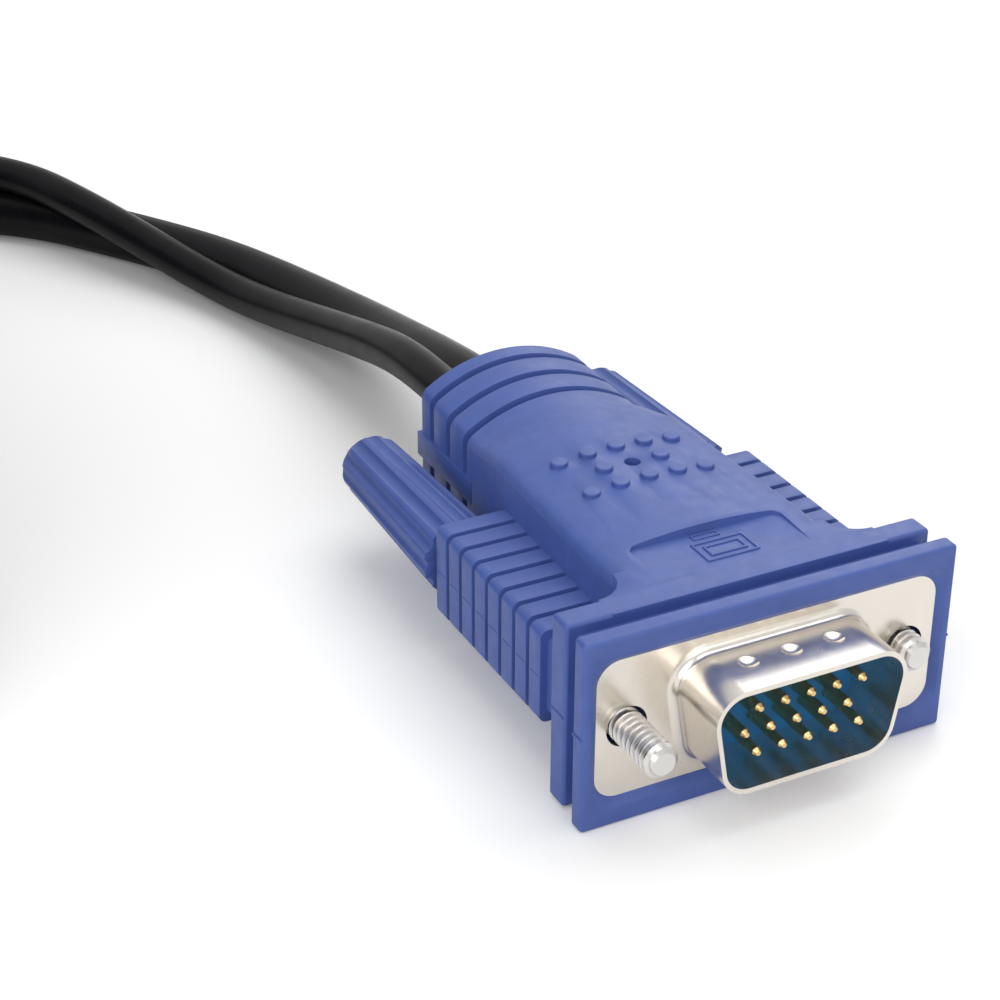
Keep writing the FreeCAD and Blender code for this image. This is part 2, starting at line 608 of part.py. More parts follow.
def hood_hollow():
    """All that is taken out of the hood."""
    cup_wide = S["cup_wide"] + S["cup_wall"] * 2
    cup_high = S["cup_high"] + S["cup_wall"] * 2
    tails_back = CUP_BACK + S["pin_tail"] + S["tail_room"]
    tails_wide = S["pin_pitch"] * 5 + S["tail_room"] * 2
    tails_high = S["pin_row"] * 2 + (S["pin_radius"] + S["tail_room"]) * 2
    sight_top = AXIS + S["dot_top"]
    sight = doc.addObject("Part::Cylinder", "sight_hole")
    bind(sight, (ZERO, S["dot_middle"], sight_top - S["sight_deep"]), Radius=S["sight_radius"],
         Height=S["sight_deep"] * 2)
    left_bore = rod("bore", S["bore_radius"], ZERO, S["bore_deep"], -STUD_X)
    left_hole = rod("neck_bore", S["neck_hole"], ZERO, SHOULDER_BACK + S["knob_gap"], -STUD_X)
    return fuse("hood_hollow", [
        window_tool(),
        prism("flange_seat", ZERO, FLANGES_BACK, FLANGE_WIDE, S["flange_high"], S["flange_corner"]),
        prism("cup_seat", ZERO, CUP_BACK, cup_wide, cup_high, S["cup_corner"] + S["cup_wall"],
              S["shell_slant"]),
        box("tail_seat", tails_wide, tails_back - CUP_BACK, tails_high, CUP_BACK, AXIS - tails_high / 2),
        left_bore, mirrored("bore_right", left_bore), left_hole, mirrored("neck_bore_right", left_hole),
        panel_tool(), slot_tool(), sight,
    ])


def screw_holes():
    left = rod("flange_hole", S["bore_radius"], -S["frame_lip"], FLANGES_BACK * 2, -STUD_X)
    return fuse("flange_holes", [left, mirrored("flange_hole_right", left)])


def front_shell(holes):
    """Flange and D shell of the mating face, with a rolled root and three dimples."""
    body = body_of("front_body")
    flange = d_outline(body, "front_flange", ZERO, FLANGE_WIDE, S["flange_high"], S["flange_corner"])
    pad(body, flange, S["sheet_thick"])
    wall = S["shell_wall"] * 2
    outer = d_outline(body, "front_outer", ZERO, S["shell_wide"] + wall, S["shell_high"] + wall,
                      S["shell_corner"] + S["shell_wall"], S["shell_slant"])
    shell = pad(body, outer, S["shell_reach"], flip=False)
    doc.recompute()
    rooted = body.newObject("PartDesign::Fillet", "front_root")
    names = [f"Edge{i}" for i, edge in enumerate(shell.Shape.Edges, start=1)
             if all(abs(vertex.Y) < 1e-5 for vertex in edge.Vertexes)
             and edge.BoundBox.XLength < S["shell_wide"].value and edge.BoundBox.ZMin > FRAME_BACK.value
             and abs(edge.CenterOfMass.x) < S["shell_wide"].value / 2 + wall.value
             and abs(edge.CenterOfMass.z - AXIS.value) < S["shell_high"].value / 2 + wall.value]
    rooted.Base = (shell, names)
    bind(rooted, Radius=S["shell_root"])
    inner = d_outline(body, "front_inner", -S["shell_reach"], S["shell_wide"], S["shell_high"],
                      S["shell_corner"], S["shell_slant"])
    pocket(body, inner, S["shell_reach"] + S["sheet_thick"])
    top = AXIS + S["shell_high"] / 2 + S["shell_wall"] + S["dimple_ball"] - S["dimple_deep"]
    dents = [ball(f"dimple_{step + 2}", S["dimple_ball"], S["dimple_pitch"] * step, -S["dimple_back"], top)
             for step in (-1, 0, 1)]
    return cut("front_piece", body, fuse("front_cuts", [holes] + dents))


def rear_shell(holes):
    """Second flange and the cup that holds the insulator."""
    body = body_of("rear_body")
    flange = d_outline(body, "rear_flange", S["sheet_thick"], FLANGE_WIDE, S["flange_high"],
                       S["flange_corner"])
    pad(body, flange, S["sheet_thick"])
    wall = S["cup_wall"] * 2
    outer = d_outline(body, "rear_outer", FLANGES_BACK, S["cup_wide"] + wall, S["cup_high"] + wall,
                      S["cup_corner"] + S["cup_wall"], S["shell_slant"])
    pad(body, outer, S["cup_deep"])
    inner = d_outline(body, "rear_inner", S["sheet_thick"], S["cup_wide"], S["cup_high"], S["cup_corner"],
                      S["shell_slant"])
    pocket(body, inner, S["cup_deep"] + S["sheet_thick"])
    return cut("rear_piece", body, holes)


def contact_pins():
    """Fifteen pins in three rows, the middle row set over by half a pitch."""
    pins = []
    back = CUP_BACK + S["pin_tail"]
    shank = -S["pin_reach"] + S["pin_point"]
    for level in (-1, 0, 1):
        shift = S["pin_pitch"] / (-4 if level == 0 else 4)
        for step in ROW_STEPS:
            x, z = S["pin_pitch"] * step + shift, AXIS + S["pin_row"] * level
            name = f"pin_{level + 2}_{step + 3}"
            pins.append(rod(name, S["pin_radius"], shank, back, x, z))
            pins.append(rod(name + "_tip", S["pin_end"], -S["pin_reach"], shank, x, z, S["pin_radius"]))
    return fuse("pin_set", pins)


def insulator(pins):
    front = prism("insulator_front_block", -S["insulator_front"], S["sheet_thick"], S["shell_wide"],
                  S["shell_high"], S["shell_corner"], S["shell_slant"])
    rear = prism("insulator_rear_block", S["sheet_thick"], CUP_BACK, S["cup_wide"], S["cup_high"],
                 S["cup_corner"], S["shell_slant"])
    return cut("insulator_piece", fuse("insulator_block", [front, rear]), pins)


def screw(side, x, pull):
    """Tapered tip, threaded stud, its shank in the hood, and plain neck that ends inside the knob."""
    tip, start, back = pull - S["stud_reach"], pull - S["stud_reach"] + S["stud_tip"], pull + S["stud_root"]
    return fuse(side + "_screw_piece", [
        rod(side + "_tip", S["stud_end"], tip, start, x, AXIS, S["stud_radius"]),
        rod(side + "_stud", S["stud_radius"], start, ZERO, x),
        rod(side + "_shank", S["shank_radius"], ZERO, back, x),
        rod(side + "_neck", S["neck_radius"], back, pull + KNOB_END - S["knob_cover"], x),
    ])


def knob(side, x, pull):
    """A fluted taper with a domed end, bored for the screw."""
    front, back = pull + KNOB_START, pull + KNOB_END
    raw = rod(side + "_knob_raw", S["knob_front"], front, back, x, AXIS, S["knob_rear"])
    domed = rounded(side + "_knob_domed", raw, S["knob_dome"],
                    lambda edge: edge.isClosed() and abs(edge.CenterOfMass.y - back.value) < 1e-4)
    cuts = [rod(side + "_knob_bore", S["neck_radius"], front, back - S["knob_cover"], x)]
    count = int(S["flute_count"].value)
    taper = math.degrees(math.atan2((S["knob_front"] - S["knob_rear"]).value, S["knob_length"].value))
    reach = S["knob_front"] + S["flute_radius"] - S["flute_deep"]
    for i in range(count):
        turn = math.radians(360 * i / count)
        out = Vector(math.cos(turn), 0, math.sin(turn))
        flute = rod(f"{side}_flute_{i}", S["flute_radius"], front, back + S["knob_dome"],
                    reach * round(out.x, 6) + x, AXIS + reach * round(out.z, 6))
        hinge = out.cross(Vector(0, 1, 0))
        flute.Placement.Rotation = Rotation(hinge, taper).multiply(flute.Placement.Rotation)
        cuts.append(flute)
    return cut(side + "_knob_piece", domed, fuse(side + "_knob_cuts", cuts))


def spine_of(name, route):
    """Straight runs joined by tangent arcs; returns the path and the smallest arc's radius."""
    points = [Vector(*point) for point in route]
    edges, start, tightest = [], points[0], math.inf
    for before, corner, after in zip(points, points[1:], points[2:]):
        back, ahead = (before - corner).normalize(), (after - corner).normalize()
        reach = ARC_SHARE * min(before.distanceToPoint(corner), after.distanceToPoint(corner))
        half_turn = (math.pi - back.getAngle(ahead)) / 2
        radius = reach / math.tan(half_turn)
        tightest = min(tightest, radius)
        middle = corner + (back + ahead).normalize() * (radius / math.cos(half_turn) - radius)
        enter, leave = corner + back * reach, corner + ahead * reach
        edges += [Part.LineSegment(start, enter).toShape(), Part.Arc(enter, middle, leave).toShape()]
        start = leave
    edges.append(Part.LineSegment(start, points[-1]).toShape())
    path = doc.addObject("Part::Feature", name)
    path.Shape = Part.Wire(edges)
    return path, tightest


def tube(name, route, diameter):
    """One lobe of cable along route, its section following the sheet."""
    path, tightest = spine_of(name + "_path", route)
    ring = doc.addObject("Part::Circle", name + "_section")
    first = Vector(*route[1]) - Vector(*route[0])
    ring.Placement.Base = Vector(*route[0])
    ring.Placement.Rotation = Rotation(Vector(0, 0, 1), first)
    bind(ring, Radius=diameter / 2)
    sweep = doc.addObject("Part::Sweep", name + "_sweep")
    sweep.Sections = [ring]
    sweep.Spine = (path, [f"Edge{i}" for i in range(1, len(path.Shape.Edges) + 1)])
    sweep.Solid = True
    sweep.Frenet = False
    doc.recompute()
    length = path.Shape.Length
    share = sweep.Shape.Volume / (math.pi * (diameter.value / 2) ** 2 * length)
    print(f"{name}: length {length:.1f}, tightest radius {tightest:.1f}, "
          f"volume over section x length {share:.4f}")
    return sweep


def hank_outline(body, name, radius):
    """Plan of a tied bundle: two straight runs between two round bends."""
    sketch = sketch_in(body, name, "XY_Plane", S["tie_thick"])
    x, near, r = S["hank_x"].value, S["hank_y"].value, radius.value
    far = near + S["hank_run"].value
    right, far_bend, left, near_bend = smooth_loop(sketch, [
        line((x + r, near), (x + r, far)),
        arc((x, far), r, 0, math.pi),
        line((x - r, far), (x - r, near)),
        arc((x, near), r, math.pi, 2 * math.pi),
    ])
    hold(sketch, "Vertical", right)
    hold(sketch, "Equal", far_bend, near_bend)
    drive(sketch, radius, "Radius", far_bend)
    drive(sketch, S["hank_x"], "DistanceX", -1, 1, near_bend, 3)
    drive(sketch, S["hank_y"], "DistanceY", -1, 1, near_bend, 3)
    drive(sketch, S["hank_run"], "DistanceY", left, 2, left, 1)
    return sketch


def hank_block(name, radius):
    body = body_of(name)
    pad(body, hank_outline(body, name + "_plan", radius), S["hank_high"], flip=False)
    return body


def hank():
    """The turns of both lobes as one oblong ring with a rounded section."""
    whole, eye = hank_block("hank_whole", S["hank_outer"]), hank_block("hank_eye", S["hank_inner"])
    return rounded("hank_piece", cut("hank_ring", whole, eye), S["hank_corner"],
                   lambda edge: edge.BoundBox.ZLength < 1e-4)


def tie():
    """A band round both runs of the hank."""
    wide, thick = S["hank_outer"] * 2, S["tie_thick"]
    raw = box("tie_raw", wide + thick * 2, S["tie_wide"], S["hank_high"] + thick * 2, S["tie_y"], ZERO,
              S["hank_x"])
    room = box("tie_room", wide, S["tie_wide"], S["hank_high"], S["tie_y"], thick, S["hank_x"])
    return cut("tie_piece", rounded("tie_block", raw, S["hank_corner"] + thick, along_plug),
               rounded("tie_space", room, S["hank_corner"], along_plug))


def moved_copy(source):
    """A second piece like source, on the far plug."""
    obj = doc.addObject("Part::Compound", "far_" + source.Label)
    obj.Links = [source]
    return bind(obj, (S["far_x"], S["far_y"], S["far_z"]))


def usb_plug():
    """Grip, metal shell, tongue and contacts of the flat plug on the data lobe, facing away."""
    x, middle = S["usb_x"], S["usb_z"] + S["usb_high"] / 2
    grip_back = S["usb_y"] + S["usb_relief"]
    grip_front = grip_back + S["usb_grip"]
    mouth, seat_back = grip_front + S["usb_reach"], grip_front - S["usb_seat"]
    raw = box("usb_grip_raw", S["usb_wide"], S["usb_grip"], S["usb_high"], grip_back, S["usb_z"], x)
    grip = rounded("usb_grip_block", raw, S["usb_edge"], lambda edge: True)
    relief = rod("usb_relief_cone", S["usb_end"], S["usb_y"], grip_back + S["usb_edge"], x, middle,
                 S["usb_root"])
    wide, high = S["usb_shell_wide"], S["usb_shell_high"]
    low = middle - high / 2
    seat = box("usb_seat_block", wide, S["usb_seat"], high, seat_back, low, x)
    part(cut("usb_grip_piece", fuse("usb_grip_whole", [grip, relief]), seat), "usb_overmould")

    inside_wide, inside_high = wide - S["usb_wall"] * 2, high - S["usb_wall"] * 2
    deep = mouth - seat_back
    outer = box("usb_shell_block", wide, deep, high, seat_back, low, x)
    inner = box("usb_shell_room", inside_wide, deep, inside_high, seat_back, low + S["usb_wall"], x)
    side = S["usb_window"]
    back = mouth - S["usb_window_back"] - side
    apart = S["usb_window_pitch"]
    windows = [box(f"usb_window_{step + 2}", side, side, high, back, low, x + apart * step / 2)
               for step in (-1, 1)]
    part(cut("usb_shell_piece", outer, fuse("usb_shell_cuts", [inner] + windows)), "usb_shell")

    floor = low + S["usb_wall"]
    front = mouth - S["usb_mouth"]
    tongue = box("usb_tongue_piece", inside_wide, front - seat_back, S["usb_tongue"], seat_back, floor, x)
    part(tongue, "usb_tongue")
    back = front - S["usb_contact_wide"] - S["usb_contact_long"]
    contacts = [box(f"usb_contact_{i}", S["usb_contact_wide"], S["usb_contact_long"], S["usb_contact_thick"],
                    back, floor + S["usb_tongue"], x + across)
                for i, across in enumerate(USB_CONTACTS)]
    part(fuse("usb_contact_set", contacts), "usb_contacts")


def check_and_write():
    doc.recompute()
    for obj in doc.Objects:
        if "Invalid" in obj.State or "Error" in obj.State:
            raise RuntimeError(f"{obj.Label} failed: {obj.State}")
    os.makedirs("parts", exist_ok=True)
    for obj in PARTS:
        if obj.Shape.isNull() or not obj.Shape.isValid() or obj.Shape.Volume <= 0:
            raise RuntimeError(f"{obj.Label} has no valid shape")
        obj.Shape.exportStep(f"parts/{obj.Label}.step")


part(cut("hood_piece", hood_blank(), hood_hollow()), "hood")
flange_holes = screw_holes()
part(front_shell(flange_holes), "front_shell")
part(rear_shell(flange_holes), "rear_shell")
pin_set = part(contact_pins(), "contact_pins")
part(insulator(pin_set), "insulator")
for hand, across, drawn in (("left", -STUD_X, ZERO), ("right", STUD_X, S["right_pull"])):
    part(screw(hand, across, drawn), hand + "_screw")
    part(knob(hand, across, drawn), hand + "_knob")
for near in list(PARTS):
    part(moved_copy(near), "far_" + near.Label)
part(tube("video_cord", VIDEO_ROUTE, S["video_diameter"]), "video_cord")
part(tube("data_cord", DATA_ROUTE, S["data_diameter"]), "data_cord")
part(tube("video_tail", VIDEO_TAIL_ROUTE, S["video_diameter"]), "video_tail")
part(tube("data_tail", DATA_TAIL_ROUTE, S["data_diameter"]), "data_tail")
part(hank(), "cord_hank")
part(tie(), "cable_tie")
usb_plug()
check_and_write()
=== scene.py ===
import json
import math

import bmesh
import bpy
from mathutils import Matrix, Vector

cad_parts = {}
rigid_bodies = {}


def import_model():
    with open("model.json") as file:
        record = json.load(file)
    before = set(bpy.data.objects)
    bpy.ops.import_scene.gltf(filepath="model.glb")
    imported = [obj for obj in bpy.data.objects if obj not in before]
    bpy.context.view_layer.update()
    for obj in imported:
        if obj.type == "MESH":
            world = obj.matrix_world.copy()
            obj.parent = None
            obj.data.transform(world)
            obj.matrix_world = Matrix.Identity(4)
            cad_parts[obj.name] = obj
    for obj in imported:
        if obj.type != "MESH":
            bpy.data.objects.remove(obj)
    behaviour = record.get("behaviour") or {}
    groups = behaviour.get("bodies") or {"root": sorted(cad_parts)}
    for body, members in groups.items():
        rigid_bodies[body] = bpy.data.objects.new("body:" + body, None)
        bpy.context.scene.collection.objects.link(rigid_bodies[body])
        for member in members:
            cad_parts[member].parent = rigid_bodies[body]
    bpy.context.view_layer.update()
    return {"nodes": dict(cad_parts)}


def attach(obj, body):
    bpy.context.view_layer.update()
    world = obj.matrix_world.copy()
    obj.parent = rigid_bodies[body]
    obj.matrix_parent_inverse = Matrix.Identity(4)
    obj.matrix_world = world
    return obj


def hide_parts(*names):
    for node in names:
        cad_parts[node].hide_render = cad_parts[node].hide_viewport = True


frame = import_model()

# Sizes are in millimetres and are turned into metres where a mesh is made
MM = 0.001
AXIS_HIGH = 8.35
NEAR, FAR = Vector((0, 0, 0)), Vector((-78.0, 34.5, 35.9))

# The photograph's view, about the plug's axis at the flange's front face
VIEW_AZIMUTH, VIEW_ELEVATION, VIEW_ROLL = -27.06, 28.81, 0.23
VIEW_DISTANCE, VIEW_RIGHT, VIEW_UP = 175.66, -20.55, 14.11
FOCAL_PIXELS, FRAME_PIXELS, SENSOR_WIDE = 2297.4, 1000, 36.0

# Both lobes of the cable: from the plug to the hank, round the hank, and on to the far plugs
VIDEO_DIAMETER, DATA_DIAMETER = 5.8, 4.0
VIDEO_ROUTE = [
    (2.2, 45.5, 9.3), (2.2, 54.0, 9.3), (2.3, 63.0, 8.0), (2.6, 72.0, 6.2), (2.5, 81.5, 4.6),
    (1.4, 91.0, 3.5), (-0.6, 100.0, 3.0), (-3.6, 108.5, 2.9), (-7.8, 116.3, 2.9), (-12.6, 124.0, 2.9),
    (-17.6, 131.2, 2.95), (-24.0, 137.2, 2.9), (-32.0, 141.4, 2.95), (-40.6, 143.4, 3.0),
    (-49.0, 144.2, 3.2), (-57.0, 144.1, 3.5), (-64.8, 143.7, 3.8), (-72.5, 143.1, 3.9),
]
DATA_ROUTE = [
    (-2.4, 45.5, 11.2), (-2.4, 54.0, 11.2), (-2.0, 63.0, 10.2), (-1.9, 72.0, 8.0), (-2.3, 81.2, 5.8),
    (-3.4, 90.2, 4.0), (-5.1, 98.8, 3.0), (-7.7, 106.6, 3.5), (-11.2, 114.2, 5.2), (-14.9, 122.3, 6.8),
    (-18.5, 131.1, 7.7), (-23.7, 138.0, 7.7), (-30.6, 142.6, 7.7), (-38.6, 145.2, 7.8), (-46.8, 145.5, 8.0),
    (-55.0, 143.8, 8.3), (-63.4, 140.4, 7.2), (-72.5, 138.2, 3.9),
]
VIDEO_TAIL_ROUTE = [
    (-90.5, 125.1, 32.9), (-89.6, 117.9, 33.7), (-87.5, 110.7, 35.8), (-84.6, 103.5, 38.6),
    (-81.7, 96.2, 41.5), (-79.1, 88.1, 44.1), (-78.0, 80.0, 45.1),
]
DATA_TAIL_ROUTE = [
    (-59.4, 49.1, 32.9), (-59.7, 58.3, 33.7), (-60.3, 67.5, 35.5), (-61.1, 76.6, 37.8), (-61.7, 85.8, 39.6),
    (-62.0, 95.0, 40.4),
]
HANK_X, HANK_NEAR, HANK_FAR = -72.5, 49.1, 125.1
HANK_FLOOR, HANK_LAYER = 3.9, 5.8
VIDEO_BEND, DATA_BEND = 18.0, 13.1
# Corners of each round bend and stops along each straight run, and how many of them each lobe passes
BEND_STEPS, RUN_STEPS = 6, 4
LAST_LAYER = 5
VIDEO_STOPS, DATA_STOPS = 103, 113

# Fineness of a cable's round section and of its curve between points
CORD_SECTION, CORD_STEPS = 5, 5

# Thumbscrews
STUD_X, STUD_RADIUS, STUD_REACH, STUD_ROOT = 12.495, 1.42, 5.5, 4.0
RIGHT_PULL = 3.4
THREAD_PITCH, THREAD_DEEP, STUD_END = 0.635, 0.34, 0.95
THREAD_SEGMENTS, TURN_ROWS, ROUND_SEGMENTS = 41, 4, 32
NECK_RADIUS, NECK_BACK = 1.15, 42.3

# Sign on the panel: a screen with its foot, raised from the panel's floor
PANEL_TOP = AXIS_HIGH + 8.15
SIGN_MIDDLE = (0.3, 7.55)
SCREEN_WIDE, SCREEN_HIGH, SCREEN_LINE = 4.7, 2.8, 0.42
PICTURE_WIDE, PICTURE_HIGH = 3.3, 1.5
FOOT_WIDE, FOOT_HIGH, FOOT_GAP = 2.4, 0.8, 0.45
SIGN_HIGH, SIGN_SUNK, SIGN_EDGE = 0.13, 0.05, 0.05
FOOT_SHIFT = 0.5

# Mould seam on both sides: half width there, first middle, length, pitch, count and radius of its beads
SEAM_BEADS = {
    "frame": (16.5, 0.33, 1.25, 0.0, 1, 0.13),
    "collar": (16.25, 3.95, 1.85, 0.0, 1, 0.09),
    "rib": (15.25, 9.5, 1.35, 2.36, 8, 0.05),
}

# Softened edges of moulded pieces, and what counts as sharp, flat or one point
HOOD_EDGE, KNOB_EDGE, EDGE_SEGMENTS = 0.16, 0.12, 2
SMOOTH_ANGLE, FLAT_ANGLE = math.radians(32), math.radians(1.0)
SKIN_WELD, THREAD_WELD, THREAD_SLIVER = 0.002, 0.001, 0.0005

HOOD_BLUE = (0.056, 0.100, 0.335)
INSULATOR_BLUE = (0.010, 0.150, 0.400)
NICKEL = (0.800, 0.750, 0.680)
STEEL = (0.720, 0.705, 0.680)
GOLD = (0.780, 0.560, 0.260)
JACKET_BLACK = (0.0065, 0.0060, 0.0075)
STRAP_BLACK = (0.022, 0.022, 0.025)
GRIP_BLACK = (0.018, 0.018, 0.020)
TONGUE_WHITE = (0.780, 0.775, 0.760)
PAPER_WHITE = (0.900, 0.900, 0.900)
# How bright the white surround is for lit surfaces and for mirrored rays, and what lifts the floor to white
SURROUND_LEVEL, MIRROR_LEVEL, FLOOR_GLOW = 0.46, 0.75, 0.10

# Half the floor's side and, for each square lamp, its place, side and power, in metres and watts
FLOOR_HALF = 6.0
LAMP_TARGET = (0, 0.02, 0)
LAMPS = {
    "key": ((0.16, 0.08, 0.70), 0.7, 2.7),
    "fill": ((-0.55, -0.30, 0.40), 0.6, 2.5),
    "front": ((0.15, -0.70, 0.30), 0.4, 0.9),
    "rim": ((0.40, 0.45, 0.35), 0.3, 0.7),
}


def metres(point):
    return Vector(point) * MM


def aim_camera():
    """A camera that sees the plug as the photograph does."""
    az, el, roll = (math.radians(angle) for angle in (VIEW_AZIMUTH, VIEW_ELEVATION, VIEW_ROLL))
    back = Vector((math.sin(az) * math.cos(el), -math.cos(az) * math.cos(el), math.sin(el)))
    level = Vector((math.cos(az), math.sin(az), 0))
    upward = back.cross(level)
    right = level * math.cos(roll) + upward * math.sin(roll)
    up = upward * math.cos(roll) - level * math.sin(roll)
    place = Vector((0, 0, AXIS_HIGH)) + back * VIEW_DISTANCE + right * VIEW_RIGHT + up * VIEW_UP
    lens = bpy.data.cameras.new("photo_view")
    lens.sensor_width = SENSOR_WIDE
    lens.lens = FOCAL_PIXELS / FRAME_PIXELS * SENSOR_WIDE
    lens.clip_start = 0.01
    camera = bpy.data.objects.new("photo_view", lens)
    turn = Matrix((right, up, back)).transposed().to_4x4()
    camera.matrix_world = Matrix.Translation(place * MM) @ turn
    bpy.context.scene.collection.objects.link(camera)
    bpy.context.scene.camera = camera


def hank_lap(bend):
    """Plan of one turn round the hank, and how far it has climbed, from the middle of the far bend."""
    half = BEND_STEPS // 2
    angles = [math.pi * i / BEND_STEPS for i in range(2 * BEND_STEPS)]
    rise = [i / RUN_STEPS for i in range(1, RUN_STEPS)]
    run = [HANK_NEAR + (HANK_FAR - HANK_NEAR) * share for share in rise]
    far = [(HANK_X + bend * math.cos(a), HANK_FAR + bend * math.sin(a)) for a in angles[:BEND_STEPS + 1]]
    near = [(HANK_X + bend * math.cos(a), HANK_NEAR + bend * math.sin(a)) for a in angles[BEND_STEPS:]]
    lap = [(*spot, 0.0) for spot in far[half:]]
    lap += [(HANK_X - bend, y, 0.0) for y in reversed(run)]
    lap += [(*spot, 0.0) for spot in near] + [(HANK_X + bend, HANK_NEAR, 0.0)]
    lap += [(HANK_X + bend, y, share * share * (3 - 2 * share)) for y, share in zip(run, rise)]
    return lap + [(*spot, 1.0) for spot in far[:half]]


def hank_points(bend, stops):
    """Control points of the folded turns: each turn keeps to its layer, then climbs along one run."""
    lap = hank_lap(bend)
    points = []
    for stop in range(1, stops):
        layer, step = divmod(stop, len(lap))
        x, y, climbed = lap[step]
        points.append((x, y, HANK_FLOOR + HANK_LAYER * min(layer + climbed, LAST_LAYER)))
    return points


def lay_cord(name, points, diameter, material):
    """One lobe of the cable as a smooth curve through the air and along the ground."""
    curve = bpy.data.curves.new(name, "CURVE")
    curve.dimensions = "3D"
    spline = curve.splines.new("NURBS")
    spline.points.add(len(points) - 1)
    for spot, point in zip(spline.points, points):
        spot.co = (*metres(point), 1)
    spline.order_u = 3
    spline.use_endpoint_u = True
    spline.resolution_u = CORD_STEPS
    curve.bevel_depth = diameter / 2 * MM
    curve.bevel_resolution = CORD_SECTION
    curve.use_fill_caps = True
    curve.materials.append(material)
    cord = bpy.data.objects.new(name, curve)
    bpy.context.scene.collection.objects.link(cord)
    return cord


class Finish:
    """A material under construction: one shader and the patterns that feed it."""

    def __init__(self, name, colour, roughness, metallic=0.0):
        self.material = bpy.data.materials.new(name)
        self.material.use_nodes = True
        self.tree = self.material.node_tree
        self.shader = self.tree.nodes["Principled BSDF"]
        self.shader.inputs["Base Color"].default_value = (*colour, 1)
        self.shader.inputs["Roughness"].default_value = roughness
        self.shader.inputs["Metallic"].default_value = metallic
        self.place = self.tree.nodes.new("ShaderNodeTexCoord").outputs["Object"]
        self.normal = None

    def add(self, kind, **settings):
        node = self.tree.nodes.new(kind)
        for name, value in settings.items():
            setattr(node, name, value)
        return node

    def join(self, source, target):
        self.tree.links.new(source, target)

    def set(self, **values):
        """Plain values on the shader's own sockets."""
        for name, value in values.items():
            self.shader.inputs[name.replace("_", " ")].default_value = value
        return self

    def noise(self, scale, detail=4.0, stretch=None):
        """Cloudy noise, its scale counted per metre, drawn out along an axis if stretch is given."""
        node = self.add("ShaderNodeTexNoise")
        node.inputs["Scale"].default_value = scale
        node.inputs["Detail"].default_value = detail
        source = self.place
        if stretch:
            mapping = self.add("ShaderNodeMapping")
            mapping.inputs["Scale"].default_value = stretch
            self.join(self.place, mapping.inputs["Vector"])
            source = mapping.outputs["Vector"]
        self.join(source, node.inputs["Vector"])
        return node.outputs["Fac"]

    def spread(self, source, low, high):
        """Values from low to high as source goes from 0.3 to 0.7."""
        node = self.add("ShaderNodeMapRange")
        for name, value in (("From Min", 0.3), ("From Max", 0.7), ("To Min", low), ("To Max", high)):
            node.inputs[name].default_value = value
        self.join(source, node.inputs["Value"])
        return node.outputs["Result"]

    def mottle(self, source, dark, light):
        """Colour that wanders between two near shades."""
        ramp = self.add("ShaderNodeValToRGB")
        ramp.color_ramp.elements[0].position = 0.3
        ramp.color_ramp.elements[1].position = 0.7
        ramp.color_ramp.elements[0].color = (*dark, 1)
        ramp.color_ramp.elements[1].color = (*light, 1)
        self.join(source, ramp.inputs["Fac"])
        self.join(ramp.outputs["Color"], self.shader.inputs["Base Color"])
        return self

    def gloss(self, source, low, high):
        self.join(self.spread(source, low, high), self.shader.inputs["Roughness"])
        return self

    def bump(self, source, strength, depth):
        """Relief of that depth in millimetres, over any relief added before."""
        node = self.add("ShaderNodeBump")
        node.inputs["Strength"].default_value = strength
        node.inputs["Distance"].default_value = depth * MM
        self.join(source, node.inputs["Height"])
        if self.normal:
            self.join(self.normal, node.inputs["Normal"])
        self.normal = node.outputs["Normal"]
        self.join(self.normal, self.shader.inputs["Normal"])
        return self


def shade(colour, factor):
    return tuple(min(1.0, value * factor) for value in colour)


def moulded_vinyl(name, colour):
    """Satin vinyl from a spark-eroded mould: fine even grain and a faint cloudiness."""
    finish = Finish(name, colour, 0.44)
    finish.mottle(finish.noise(420, 3), shade(colour, 0.94), shade(colour, 1.05))
    finish.gloss(finish.noise(900, 2), 0.40, 0.50)
    finish.bump(finish.noise(9000, 2), 0.18, 0.02)
    finish.bump(finish.noise(700, 2), 0.10, 0.05)
    return finish.set(Specular_IOR_Level=0.42).material


def nickel_plate(name, colour, roughness):
    """Bright plate over pressed sheet: drawing marks and a slightly uneven shine."""
    finish = Finish(name, colour, roughness, metallic=1.0)
    finish.mottle(finish.noise(260, 3), shade(colour, 0.96), shade(colour, 1.03))
    finish.gloss(finish.noise(700, 2), roughness * 0.9, roughness * 1.15)
    finish.bump(finish.noise(1600, 2, (1, 0.10, 1)), 0.05, 0.01)
    return finish.material


def gold_flash():
    finish = Finish("gold_flash", GOLD, 0.24, metallic=1.0)
    finish.mottle(finish.noise(900, 2), shade(GOLD, 0.94), shade(GOLD, 1.04))
    finish.gloss(finish.noise(900, 2), 0.21, 0.28)
    return finish.material


def glossy_insulator():
    finish = Finish("insulator_blue", INSULATOR_BLUE, 0.45)
    finish.mottle(finish.noise(500, 2), shade(INSULATOR_BLUE, 0.9), shade(INSULATOR_BLUE, 1.08))
    finish.bump(finish.noise(2500, 2), 0.04, 0.01)
    return finish.set(Specular_IOR_Level=0.3).material


def satin_jacket():
    """Extruded cable jacket: soft shine with faint lengthwise waviness."""
    finish = Finish("cable_jacket", JACKET_BLACK, 0.34)
    finish.mottle(finish.noise(180, 3), shade(JACKET_BLACK, 0.8), shade(JACKET_BLACK, 1.3))
    finish.gloss(finish.noise(350, 3), 0.27, 0.35)
    finish.bump(finish.noise(1400, 3), 0.10, 0.03)
    finish.bump(finish.noise(160, 2), 0.12, 0.15)
    return finish.set(Specular_IOR_Level=0.12).material


